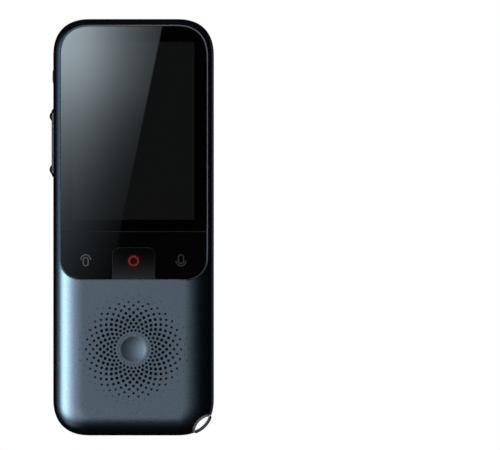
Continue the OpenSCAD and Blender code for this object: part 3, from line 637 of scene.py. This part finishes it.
class Look(Tree):
    """Material on the Principled shader."""

    def __init__(self, name, rough, metal=0.0, **sockets):
        self.mat = bpy.data.materials.new(name)
        self.mat.use_nodes = True
        super().__init__(self.mat.node_tree)
        self.bsdf = self.nodes["Principled BSDF"]
        for socket, value in {"Roughness": rough, "Metallic": metal, **sockets}.items():
            self.bsdf.inputs[socket.replace("_", " ")].default_value = value
        self.place = self.nodes.new("ShaderNodeTexCoord").outputs["Object"]

    def axis(self):
        return self.node("ShaderNodeSeparateXYZ", Vector=self.place).outputs

    def reach(self, x, z):
        """Distance from the line along Y through x and z, which are in mm."""
        shifted = self.vector("SUBTRACT", self.place, (x * MM, 0, z * MM))
        return self.length(self.vector("MULTIPLY", shifted, (1, 0, 1)))

    def near(self, value, centre, half):
        """1 where value is less than half from centre, both in mm."""
        return self.below(self.off(value, centre * MM), half * MM)

    def stretched(self, x, y, z):
        return self.node("ShaderNodeMapping", Vector=self.place, Scale=(x, y, z)).outputs[0]

    def noise(self, scale, detail=3.0, place=None):
        return self.node("ShaderNodeTexNoise", Vector=place or self.place, Scale=scale, Detail=detail).outputs["Fac"]

    def colour(self, value):
        self.put(self.bsdf.inputs["Base Color"], value)
        return self

    def rough(self, value):
        self.put(self.bsdf.inputs["Roughness"], value)
        return self

    def bump(self, height, distance_mm, strength=1.0):
        n = self.node("ShaderNodeBump", Height=height, Distance=distance_mm * MM, Strength=strength)
        self.put(self.bsdf.inputs["Normal"], n.outputs[0])
        return self


def mottled(name, rough, scale, first, second, **sockets):
    """Finish that wavers between two close tones."""
    look = Look(name, rough, **sockets)
    return look.colour(look.mix(look.span(look.noise(scale), 0, 1), rgb(first), rgb(second)))


def grained(name, code, rough, metal, grain, shade_by, rough_by, bump_mm, stretch=None):
    """Even finish with a fine grain in colour, gloss and relief."""
    look = Look(name, rough, metal)
    place = look.stretched(*stretch) if stretch else None
    fine = look.noise(grain, 4.0, place)
    broad = look.noise(grain / 40, 2.0, place)
    look.colour(look.mix(look.span(fine, 0, 1), *tones(code, shade_by)))
    return look.rough(look.span(broad, rough - rough_by, rough + rough_by)).bump(fine, bump_mm)


# ------------------------------------------------------------------ looks of the outer pieces

# the last two colours are painted shade, at the ends of the lanyard cut and inside the grille holes
PAINT, BARE, BARE_SHADE, HOLE_SHADE = "#4f5b67", "#585c5e", "#16181a", "#020304"
# the two colours on the next line are a painted highlight and a painted shade for the crest of the lip
CREST_Y, CREST_HIGHLIGHT, CREST_SHADE = -6.202, "#555861", "#1c1d20"
paint = Look("satin_metal_paint", 0.28, 1.0)
flake = paint.node("ShaderNodeTexVoronoi", Vector=paint.place, Scale=9000.0)
coat = paint.mix(paint.span(flake.outputs["Color"], 0, 1, 0.0, 1.0), *tones(PAINT, 0.03))
x, y, z = paint.axis()
# the holes of the grille get painted shade inside
in_disc = paint.near(paint.reach(0, GRILLE_Z), (HOLES_FROM + HOLES_TO) / 2, (HOLES_TO - HOLES_FROM) / 2)
hole_shade = paint.times(in_disc, paint.near(y, 0, FACE_Y - HOLE_MASK))
coat = paint.mix(hole_shade, coat, rgb(HOLE_SHADE))
# the crest of the lip is a little greyer on the right, a painted highlight, with painted shade round the lower right
# corner
on_crest = paint.times(paint.below(y, CREST_Y * MM), paint.math("GREATER_THAN", x, 0.0))
crest_foot_shade = paint.times(paint.span(z, 1, 0, *mm(PANEL_LOW, 61.5), True), paint.span(x, 0, 1, *mm(14.5, 19.0), True))
coat = paint.mix(on_crest, coat, paint.mix(crest_foot_shade, rgb(CREST_HIGHLIGHT), rgb(CREST_SHADE)))
# the cut of the lanyard corner is bare moulding, with painted shade towards both its ends
bare = paint.near(paint.reach(*NOTCH), 0, NOTCH_R + NOTCH_BEVEL + 0.15)
along = paint.plus(paint.minus(x, NOTCH[0] * MM), paint.minus(z, NOTCH[1] * MM))
end_shade = paint.span(paint.off(along), 0, 1, *mm(3.5, 6.6), True)
paint.colour(paint.mix(bare, coat, paint.mix(end_shade, rgb(BARE), rgb(BARE_SHADE))))
paint.put(paint.bsdf.inputs["Metallic"], paint.minus(1.0, bare))
paint.rough(paint.plus(paint.span(paint.noise(900), 0.265, 0.295), paint.times(bare, 0.3)))
paint.bump(paint.noise(6000, 2.0), 0.0003)

# the side keys are painted like the housing, but the rocker's nubs and ends get dark painted shade
NUB_X, PAINTED_HALF, ROCKER_TOP = -26.57, 9.7, 108     # the nubs stand past NUB_X, and painted shade covers them and the rocker past PAINTED_HALF from its middle; the rocker is below ROCKER_TOP
key_paint = Look("side_key_paint", 0.28, 1.0)
x, _, z = key_paint.axis()
at_key_end = key_paint.minus(1.0, key_paint.near(z, ROCKER[0], PAINTED_HALF))
shaded_end = key_paint.math("MAXIMUM", key_paint.below(x, NUB_X * MM), at_key_end)
shaded_end = key_paint.times(shaded_end, key_paint.below(z, ROCKER_TOP * MM))
key_coat = key_paint.mix(key_paint.span(key_paint.noise(4000), 0, 1), *tones(PAINT, 0.03))
key_paint.colour(key_paint.mix(shaded_end, key_coat, rgb("#101317"))).bump(key_paint.noise(6000, 2.0), 0.0003)

# the lit area of the display, seen through the glass, is a little paler than its frame
LIT_Z, LIT_HALF_X, LIT_HALF_Z = 98.65, 19.65, 28.8
pane = Look("black_front_glass", 0.015, IOR=1.5)
x, _, z = pane.axis()
lit = pane.times(pane.near(x, 0, LIT_HALF_X), pane.near(z, LIT_Z, LIT_HALF_Z))
dots = pane.node("ShaderNodeTexVoronoi", Vector=pane.stretched(1, 0, 1), Scale=11000.0)
cell = pane.mix(pane.span(dots.outputs["Distance"], 0, 1, 0.0, 0.8), rgb("#0e0e0e"), rgb("#0b0b0c"))
pane.colour(pane.mix(lit, rgb("#010101"), cell))

# the middle key has a painted sheen, paler towards its foot, a painted highlight on its chamfer, and a faint painted
# red glow round the ring
cap = Look("satin_key_black", 0.06, IOR=1.5)
foot_sheen = cap.span(cap.axis()[2], 1.0, 0.0, *mm(PANEL_LOW, 60.6))
fade = cap.times(foot_sheen, cap.span(cap.noise(5000), 0.9, 1.1))
tone = cap.mix(cap.math("POWER", fade, 2.1), rgb("#020202"), rgb("#1f1f21"))
red_glow = cap.span(cap.off(cap.reach(0, RING_Z), RING_R * MM), 1, 0, *mm(0.2, 1.0), True)
normal = cap.node("ShaderNodeTexCoord").outputs["Normal"]
rim_highlight = cap.math("GREATER_THAN", cap.node("ShaderNodeSeparateXYZ", Vector=normal).outputs[1], -0.9)
cap.colour(cap.mix(rim_highlight, cap.mix(red_glow, tone, rgb("#300605")), rgb("#29292b"))).bump(cap.noise(5000), 0.0005)

# the left symbol is painted lighter than the right one, a painted sheen on the print
ink = Look("pale_print", 0.6, Specular_IOR_Level=0.0)
print_and_sheen = ink.mix(ink.below(ink.axis()[0], 0.0), rgb("#252526"), rgb("#424344"))
ink.colour(ink.mix(ink.span(ink.noise(5000), 0, 0.1), print_and_sheen, rgb("#000000")))

lens_glass = Look("lens_coating", 0.04, IOR=1.6, Coat_Weight=0.6, Coat_Roughness=0.03)
pupil = lens_glass.span(lens_glass.reach(LENS_X, BUMP_Z), 0, 1, *mm(0.3, 1.1), True)
lens_glass.colour(lens_glass.mix(pupil, rgb("#14171f"), rgb("#232a3a")))

RIPPLES = 26000.0     # the flash window has fine rings, this many radians of them a metre
flash_look = Look("flash_lens", 0.18, IOR=1.5)
far = flash_look.reach(FLASH_X, BUMP_Z)
flash_look.colour(flash_look.mix(flash_look.span(far, 0, 1, *mm(0.7, 1.7), True), rgb("#83885e"), rgb("#74797a")))
flash_look.bump(flash_look.math("SINE", flash_look.times(far, RIPPLES)), 0.02, 0.5)

key_gloss = mottled("gloss_key_black", 0.03, 2500, "#010101", "#030304", IOR=1.5)
back_pane = mottled("black_window_glass", 0.03, 2000, "#020203", "#050608", IOR=1.5)
red = mottled("red_ring", 0.5, 4000, "#5a1f1e", "#642322", Specular_IOR_Level=0.0)
seal_look = mottled("grey_seal", 0.7, 4000, "#222324", "#28292a", Specular_IOR_Level=0.0)

# colour, roughness, metal, scale of the grain, and how much it changes shade, roughness and, in mm, relief
bar_metal = grained("bar_metal", "#3e4044", 0.3, 0.9, 3500, 0.08, 0.05, 0.002)
bright = grained("bright_rim", "#a9b2bb", 0.2, 1.0, 2500, 0.05, 0.05, 0.001, (1, 6, 1))
dim_rim = grained("camera_rim_metal", "#5c6067", 0.25, 1.0, 2500, 0.05, 0.05, 0.001)
barrel = grained("barrel_black", "#1a1c22", 0.35, 0.0, 4000, 0.15, 0.06, 0.002)
gilt = grained("gilt", "#c79a45", 0.25, 1.0, 4000, 0.05, 0.04, 0.001)

# ------------------------------------------------------------------ bodies, nodes, slots and looks

for piece, body, nodes, slot, look in (
    (front, "housing", ("front_cover", "speaker_grille"), "housing_paint", paint),
    (rear, "housing", ("rear_cover",), "housing_paint", paint),
    (glass, "housing", ("touch_glass",), "black_glass", pane),
    (seal, "housing", (), "black_moulding", seal_look),
    (talk, "talk_key", ("talk_key",), "gloss_keys", key_gloss),
    (symbols, "talk_key", (), "bright_trim", ink),
    (record, "record_key", ("record_key",), "gloss_keys", cap),
    (ring, "record_key", ("record_ring",), "red_light", red),
    (rocker, "volume_rocker", ("volume_rocker",), "side_keys", key_paint),
    (power, "power_key", ("power_key",), "side_keys", key_paint),
    (bar, "housing", ("lanyard_bar",), "dark_metal", bar_metal),
    (rim, "housing", ("camera_trim",), "bright_trim", bright),
    (window, "housing", ("camera_window",), "black_glass", back_pane),
    (camera_rim, "housing", ("camera_ring",), "dark_metal", dim_rim),
    (lens, "housing", (), "black_moulding", barrel),
    (dome, "housing", ("camera_lens",), "lens_glass", lens_glass),
    (flash, "housing", ("flash_diffuser",), "flash_window", flash_look),
    (contacts, "housing", (), "gilt_contacts", gilt),
):
    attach(piece, body)
    if nodes:
        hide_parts(*nodes)
    piece.data.materials.clear()
    piece.data.materials.append(look.mat)

# ------------------------------------------------------------------ looks of the parts inside

steel = grained("drawn_steel", "#9a9ea3", 0.28, 1.0, 2500, 0.06, 0.06, 0.002, (1, 1, 0.08))
sheet_steel = grained("rolled_sheet", "#8d9196", 0.4, 1.0, 2200, 0.06, 0.06, 0.003, (0.1, 1, 1))
cast = grained("cast_alloy", "#8a8d90", 0.55, 0.9, 1800, 0.1, 0.08, 0.012)
tape = grained("tape_black", "#202224", 0.75, 0.0, 2600, 0.12, 0.05, 0.006)
moulded = grained("moulded_black", "#1b1c1e", 0.5, 0.0, 2600, 0.1, 0.06, 0.006)
foam = grained("foam_black", "#17181a", 0.95, 0.0, 1500, 0.25, 0.03, 0.06)
foil = grained("foil_wrap", "#c9ccd0", 0.3, 0.85, 700, 0.06, 0.08, 0.03)
paper = grained("cone_paper_fibre", "#1c1d1f", 0.85, 0.0, 1400, 0.2, 0.04, 0.03, (1, 1, 0.3))
film = grained("amber_film", "#7a4a1a", 0.35, 0.0, 2000, 0.12, 0.05, 0.004)
magnet = grained("plated_magnet", "#8d9196", 0.22, 1.0, 1500, 0.04, 0.05, 0.002)
sensor = grained("camera_body", "#2a2c30", 0.45, 0.2, 2500, 0.1, 0.05, 0.005)
screen = grained("display_black", "#0d0e0f", 0.2, 0.0, 3000, 0.1, 0.03, 0.001)

weave = Look("dust_cloth_weave", 0.9)
warp, weft = (weave.node("ShaderNodeTexWave", Vector=weave.place, Scale=900.0) for _ in range(2))
weft.bands_direction = "Z"
net = weave.times(warp.outputs["Fac"], weft.outputs["Fac"])
weave.colour(weave.mix(net, rgb("#020203"), rgb("#0a0b0c"))).bump(net, 0.03)

board = Look("green_board_mask", 0.35, Coat_Weight=0.2)
copper = board.span(board.noise(700, 1.0, board.stretched(1, 1, 0.15)), 0, 1, 0.48, 0.52)
board.colour(board.mix(copper, rgb("#143a28"), rgb("#215a3c"))).bump(copper, 0.015)

phosphor = mottled("yellow_phosphor", 0.6, 6000, "#d8c840", "#f2e670")
phosphor.bump(phosphor.noise(6000), 0.01)

inner = {
    "glass_tape": tape, "display_panel": screen, "display_frame": sheet_steel, "display_flex": film,
    "talk_key_pin": steel, "key_board": board, "key_domes": gilt, "side_key_board": sheet_steel,
    "side_switches": gilt, "camera_module": sensor, "flash_led": phosphor, "mid_frame": cast, "main_board": board,
    "shield_can": sheet_steel, "battery": foil, "battery_tape": tape, "speaker_gasket": foam, "dust_mesh": weave,
    "speaker_frame": moulded, "speaker_cone": paper, "speaker_magnet": magnet, "sub_board": board,
    "usb_shell": steel, "usb_tongue": moulded, "microphones": gilt, "antenna": film, "frame_screws": steel,
}
for node, look in inner.items():
    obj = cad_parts[node]
    if not obj.material_slots:
        obj.data.materials.append(look.mat)
    for held in obj.material_slots:
        held.link = "OBJECT"
        held.material = look.mat

# ------------------------------------------------------------------ floor

FLOOR_HALF, FLOOR_Z = 1.6, -0.00005       # it lies a hair below the foot
WHITE_SHARE, NEAR_END, FAR_START = 0.72, 0.08, 0.5     # how white it is near the object, and where that ends
floor_mesh = bpy.data.meshes.new("floor")
floor_mesh.from_pydata([(sx * FLOOR_HALF, sy * FLOOR_HALF, 0) for sx, sy in ((-1, -1), (1, -1), (1, 1), (-1, 1))],
                       [], [(0, 1, 2, 3)])
floor = bpy.data.objects.new("floor", floor_mesh)
floor.location.z = FLOOR_Z
floor.visible_glossy = False
bpy.context.scene.collection.objects.link(floor)

# to the camera it is nearly white, and near the object a share of its own shade and of the shadow shows
ground = bpy.data.materials.new("pale_floor")
ground.use_nodes = True
ground.node_tree.nodes.clear()
g = Tree(ground.node_tree)
distance = g.length(g.node("ShaderNodeTexCoord").outputs["Object"])
seen = g.node("ShaderNodeLightPath").outputs["Is Camera Ray"]
blend = g.nodes.new("ShaderNodeMixShader")
g.put(blend.inputs[0], g.times(g.span(distance, WHITE_SHARE, 1.0, NEAR_END, FAR_START, True), seen))
g.put(blend.inputs[1], g.node("ShaderNodeBsdfDiffuse", Color=(0.82, 0.82, 0.83, 1)).outputs[0])
g.put(blend.inputs[2], g.node("ShaderNodeEmission", Color=(1, 1, 1, 1)).outputs[0])
g.node("ShaderNodeOutputMaterial", Surface=blend.outputs[0])
floor_mesh.materials.append(ground)

# ------------------------------------------------------------------ world

# The world adds a dim side, top and low light and the ambient to the boxes. An azimuth is in degrees to the left of
# the face. Each (half, soft) is a half width and how softly it ends, in degrees in LOW_WIDE and otherwise as a part
# of the unit ray.
SIDE_AZ, SIDE_HALF, SIDE_SOFT, SIDE_UP, SIDE_LEVEL = 22.0, 9.0, 0.12, (0.3, 0.15), 0.35
TOP_UP, TOP_LEVEL = (0.2, 0.12), 0.02
LOW_AZ, LOW_WIDE, LOW_DOWN, LOW_UP, LOW_LEVEL = 46.0, (16.0, 7.0), 31.0, (0.19, 0.06), 0.8
AMBIENT, FILL = 0.008, 0.5
SIDE_TINT, WHITE = (0.62, 0.98, 1.3, 1), (1, 1, 1, 1)
BACKDROP = (0.006, 0.003)     # the part straight behind the object that gloss and glass see as white


def sine(degrees):
    return math.sin(math.radians(degrees))


def cosine(degrees):
    return math.cos(math.radians(degrees))


world = bpy.data.worlds.new("studio")
bpy.context.scene.world = world
world.use_nodes = True
world.node_tree.nodes.clear()
w = Tree(world.node_tree)
direction = w.node("ShaderNodeTexCoord").outputs["Generated"]
up = w.dot(direction, (0, 0, 1))
side_off = w.off(w.dot(direction, (-sine(SIDE_AZ), cosine(SIDE_AZ), 0)))
side = w.times(w.within(side_off, sine(SIDE_HALF), SIDE_SOFT), w.within(w.off(up), *SIDE_UP))
above = w.within(w.minus(1.0, up), *TOP_UP)
low = w.times(w.within(w.off(w.left_angle(direction), LOW_AZ), *LOW_WIDE),
              w.within(w.off(up, -sine(LOW_DOWN)), *LOW_UP))
paths = w.node("ShaderNodeLightPath").outputs
light = w.plus(w.times(side, SIDE_LEVEL), w.times(above, TOP_LEVEL), w.times(low, LOW_LEVEL), AMBIENT,
               w.times(paths["Is Diffuse Ray"], FILL))
behind = w.within(w.minus(1.0, w.dot(direction, (0, 1, 0))), *BACKDROP)
glossy = w.math("MAXIMUM", paths["Is Glossy Ray"], paths["Is Transmission Ray"])
white = w.math("MAXIMUM", paths["Is Camera Ray"], w.times(glossy, behind))
on_left = w.times(side, w.below(w.dot(direction, (1, 0, 0)), 0.0), w.minus(1.0, white))
sky = w.node("ShaderNodeBackground", Color=w.mix(on_left, WHITE, SIDE_TINT),
             Strength=w.mix(white, light, 1.0, "FLOAT"))
w.node("ShaderNodeOutputWorld", Surface=sky.outputs[0])

# ------------------------------------------------------------------ lights

# One wide soft box stands to the left of each face. AROUND is its level by the angle to the left of the face's own
# direction, in degrees.
AROUND = ((-10, 0.2, 0.2, 0.2), (-4, 0.6, 0.6, 0.6), (4, 2.3, 2.3, 2.3), (12, 1.5, 1.5, 1.5), (20, 6.0, 6.4, 6.6),
          (28, 11.2, 12.6, 11.9), (36, 12.8, 14.4, 12.8), (44, 5.6, 6.9, 6.7), (52, 0.3, 0.7, 1.0),
          (60, 0.0, 0.1, 0.2))
AROUND_END = 8                            # degrees past the first and the last of them where the box ends
BOX_AZ, BOX_FAR, BOX_WIDE, BOX_TALL = 25.0, 3.0, 5.8, 2.6
BOX_HIGH, BOX_SOFT = 11.5, 4.5            # half height in degrees, and how softly it ends
SUNK = -0.05                              # the lean starts this far below the middle, as a share of the unit ray
BESIDE, BESIDE_SOFT = 27, 7               # the drop starts this far to the left
AHEAD, AHEAD_SOFT = 0.9982, 0.0009        # the flat glass mirrors a small dark hole straight in front of the face
MIDDLE = (0.0, 0.0, 0.067)


def linked(name, members):
    group = bpy.data.collections.new(name)
    for member in members:
        group.objects.link(member)
    return group


class Lamp(Tree):
    """Area light of unit level that shines from place against the direction away, on the pieces lit alone."""

    def __init__(self, name, wide, tall, place, away, lit, blockers=None):
        data = bpy.data.lights.new(name, "AREA")
        data.shape, data.size, data.size_y = "RECTANGLE", wide, tall
        data.energy = math.pi * wide * tall
        data.use_nodes = True
        super().__init__(data.node_tree)
        self.obj = bpy.data.objects.new(name, data)
        bpy.context.scene.collection.objects.link(self.obj)
        self.obj.location = place
        self.obj.rotation_euler = Vector(away).to_track_quat("Z", "Y").to_euler()
        self.obj.visible_camera = False
        self.obj.light_linking.receiver_collection = linked(name + "_on", lit)
        if blockers:
            self.obj.light_linking.blocker_collection = linked(name + "_shadows", blockers)
        self.position = self.node("ShaderNodeNewGeometry").outputs["Position"]

    def shine(self, strength, colour=WHITE):
        self.put(self.nodes["Emission"].inputs["Strength"], strength)
        self.put(self.nodes["Emission"].inputs["Color"], colour)


def soft_box(name, way, lit, share=1.0, lean=0.0, drop=0.0):
    """The wide box in front of one face; way is -1 for the front and 1 for the back, share scales its level.

    Towards the foot the box leans to the left by lean and reaches further down by drop.
    """
    away = (way * sine(BOX_AZ), way * cosine(BOX_AZ), 0)
    place = [m + BOX_FAR * a for m, a in zip(MIDDLE, away)]
    box = Lamp(name, BOX_WIDE, BOX_TALL, place, away, lit, solid_pieces)
    ray = box.vector("NORMALIZE", box.vector("SUBTRACT", box.position, MIDDLE))
    rise, left = box.dot(ray, (0, 0, 1)), box.left_angle(ray)
    sunk = box.math("MAXIMUM", box.minus(SUNK, rise), 0.0)
    first, last = AROUND[0][0] - AROUND_END, AROUND[-1][0] + AROUND_END
    peak = max(max(levels) for _, *levels in AROUND)
    ramp = box.nodes.new("ShaderNodeValToRGB")
    box.put(ramp.inputs[0], box.math("DIVIDE", box.minus(box.minus(left, box.times(sunk, lean)), first), last - first))
    stops = ramp.color_ramp.elements
    for end in (0, 1):
        stops[end].position, stops[end].color = end, (0, 0, 0, 1)
    for degrees, *levels in AROUND:
        stops.new((degrees - first) / (last - first)).color = [v / peak for v in levels] + [1]
    beside = box.minus(1.0, box.within(left, BESIDE, BESIDE_SOFT))
    extra = box.times(beside, drop, box.below(rise, 0.0))
    upright = box.within(box.minus(box.off(rise), extra), sine(BOX_HIGH), sine(BOX_SOFT))
    ahead = box.off(box.dot(ray, (0, 1, 0)))
    box.shine(box.times(peak * share, upright, box.within(ahead, AHEAD, AHEAD_SOFT)), ramp.outputs[0])


inside = [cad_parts[n] for n in inner]
front_pieces = [front, glass, seal, talk, symbols, record, ring, rocker, power, bar, contacts]
back_pieces = [rear, rim, window, camera_rim, lens, dome, flash]
solid_pieces = front_pieces + back_pieces + inside
soft_box("front_box", -1, front_pieces + inside, lean=30.0, drop=0.1)
soft_box("back_box", 1, back_pieces + inside + [bar], share=0.8)

# Soft box with a slanting edge that only the glass and the front keys mirror; right and high are in mm on the face.
CARD_LEVEL, CARD_COLOUR = 11.2, (0.76, 0.91, 1.0, 1)
EDGE_TOP, EDGE_SLOPE, EDGE_Z = 9.2, 0.2064, 132.2     # the slanting edge: its place at height EDGE_Z, its slope
KNEE_RIGHT, KNEE_DOWN = (-15.9, 3.6, 10.0), (-121.6, 4.9, 21.0)       # how it fades to the right and downwards
DIM_LEFT, DIM_Z, DIM_BY = 23.2, 112.0, -0.00115       # below DIM_Z it gets darker towards the right
CARD_SIZE, CARD_PLACE = (0.056, 0.092), (0, -0.25, 0.0915)
card = Lamp("glass_card", *CARD_SIZE, CARD_PLACE, (0, -1, 0), (glass, talk, record))
card.obj.visible_diffuse = False
right = card.times(card.dot(card.position, (1, 0, 0)), 1000)
high = card.times(card.dot(card.position, (0, 0, 1)), 1000)
left_of = card.below(right, card.plus(card.times(card.minus(high, EDGE_Z), EDGE_SLOPE), EDGE_TOP))
sheen = card.times(card.knee(right, *KNEE_RIGHT), card.knee(card.times(high, -1.0), *KNEE_DOWN))
lower = card.math("MAXIMUM", card.minus(DIM_Z, high), 0.0)
dimmed = card.math("EXPONENT", card.times(lower, card.plus(right, DIM_LEFT), DIM_BY))
card.shine(card.times(sheen, dimmed, left_of, CARD_LEVEL), CARD_COLOUR)

# Overhead box for the floor alone, so that the object's shadow shows on it.
OVERHEAD = (-0.3, -0.35, 1.3)
Lamp("floor_box", 1.2, 1.2, OVERHEAD, OVERHEAD, (floor,)).shine(3.0)

# ------------------------------------------------------------------ camera

# The photograph is square-on, so the camera has no perspective. Its frame is FRAME_PX at PX_PER_MM, and the middle
# of the device's foot is at FOOT_PX in it.
FRAME_PX, PX_PER_MM, FOOT_PX, CAMERA_Y = (500, 450), 3.089, (133.56, 435.46), -0.9
cam_data = bpy.data.cameras.new("camera")
cam_data.type = "ORTHO"
cam_data.ortho_scale = FRAME_PX[0] / PX_PER_MM * MM
cam_data.clip_start, cam_data.clip_end = 0.01, 10
camera = bpy.data.objects.new("camera", cam_data)
bpy.context.scene.collection.objects.link(camera)
camera.location = ((FRAME_PX[0] / 2 - FOOT_PX[0]) / PX_PER_MM * MM, CAMERA_Y,
                   (FOOT_PX[1] - FRAME_PX[1] / 2) / PX_PER_MM * MM)
camera.rotation_euler = (math.radians(90), 0, 0)
bpy.context.scene.camera = camera
bpy.context.scene.view_settings.view_transform = "Standard"
